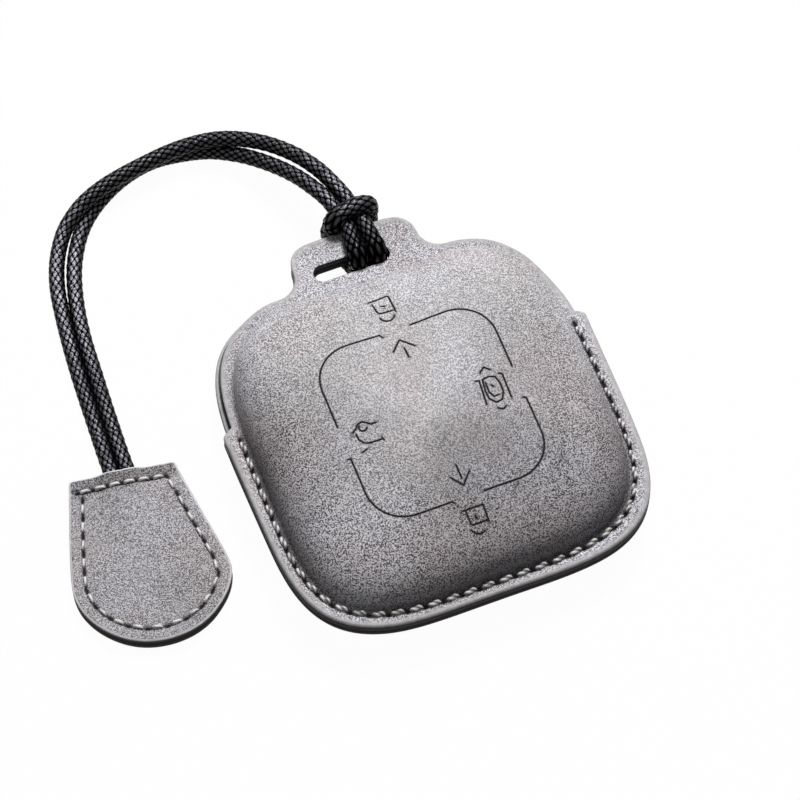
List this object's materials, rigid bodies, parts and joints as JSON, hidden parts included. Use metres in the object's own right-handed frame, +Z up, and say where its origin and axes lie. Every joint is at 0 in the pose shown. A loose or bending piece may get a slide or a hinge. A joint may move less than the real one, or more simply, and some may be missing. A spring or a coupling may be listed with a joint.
{
  "type": "car key pouch",
  "caption": "Moulded leather key pouch with a stitched flange, a slotted tab, a hitched waxed cord and a small sewn leather tag.",
  "frame": {"origin": "on the table, under the middle of the pouch with its tab, without the cord and the tag", "axes": "+X across the pouch, +Y from the stitched end to the tab, +Z up out of the front dome"},
  "size_m": [0.1114, 0.118, 0.0194],
  "materials": {
    "grained_leather": "grey speckled grain, satin",
    "lining_cloth": "matt",
    "sewing_thread": "twisted, slightly waxed",
    "waxed_cord": "braided and waxed, glossy"
  },
  "bodies": {
    "pouch": {"back_shell": "grained_leather", "back_lining": "lining_cloth", "front_shell": "grained_leather", "front_lining": "lining_cloth", "seam_thread_front": "sewing_thread", "seam_thread_back": "sewing_thread", "cord_hitch": "waxed_cord"},
    "mouth_flap": {"front_flap": "grained_leather", "front_flap_lining": "lining_cloth"},
    "lanyard": {"cord_strand_outer": "waxed_cord", "cord_strand_inner": "waxed_cord"},
    "tag": {"tag_front": "grained_leather", "tag_back": "grained_leather", "tag_thread_front": "sewing_thread", "tag_thread_back": "sewing_thread"}
  },
  "joints": [
    {"name": "mouth_flex", "type": "hinge", "parent": "pouch", "child": "mouth_flap", "pos_m": [0, 0.0077, 0.0194], "axis": [1, 0, 0], "range_deg": [0, 35], "deforming": ["cord_hitch"]},
    {"name": "lanyard_swing", "type": "hinge", "parent": "pouch", "child": "lanyard", "pos_m": [0.0015, 0.0474, 0.011], "axis": [0, 0, -1], "range_deg": [0, 90], "deforming": ["cord_strand_outer", "cord_strand_inner"]},
    {"name": "tag_fold", "type": "hinge", "parent": "lanyard", "child": "tag", "pos_m": [-0.05687, 0.01524, 0.00185], "axis": [-0.9968, 0.0802, 0], "range_deg": [0, 120], "deforming": ["cord_strand_outer", "cord_strand_inner"]}
  ]
}
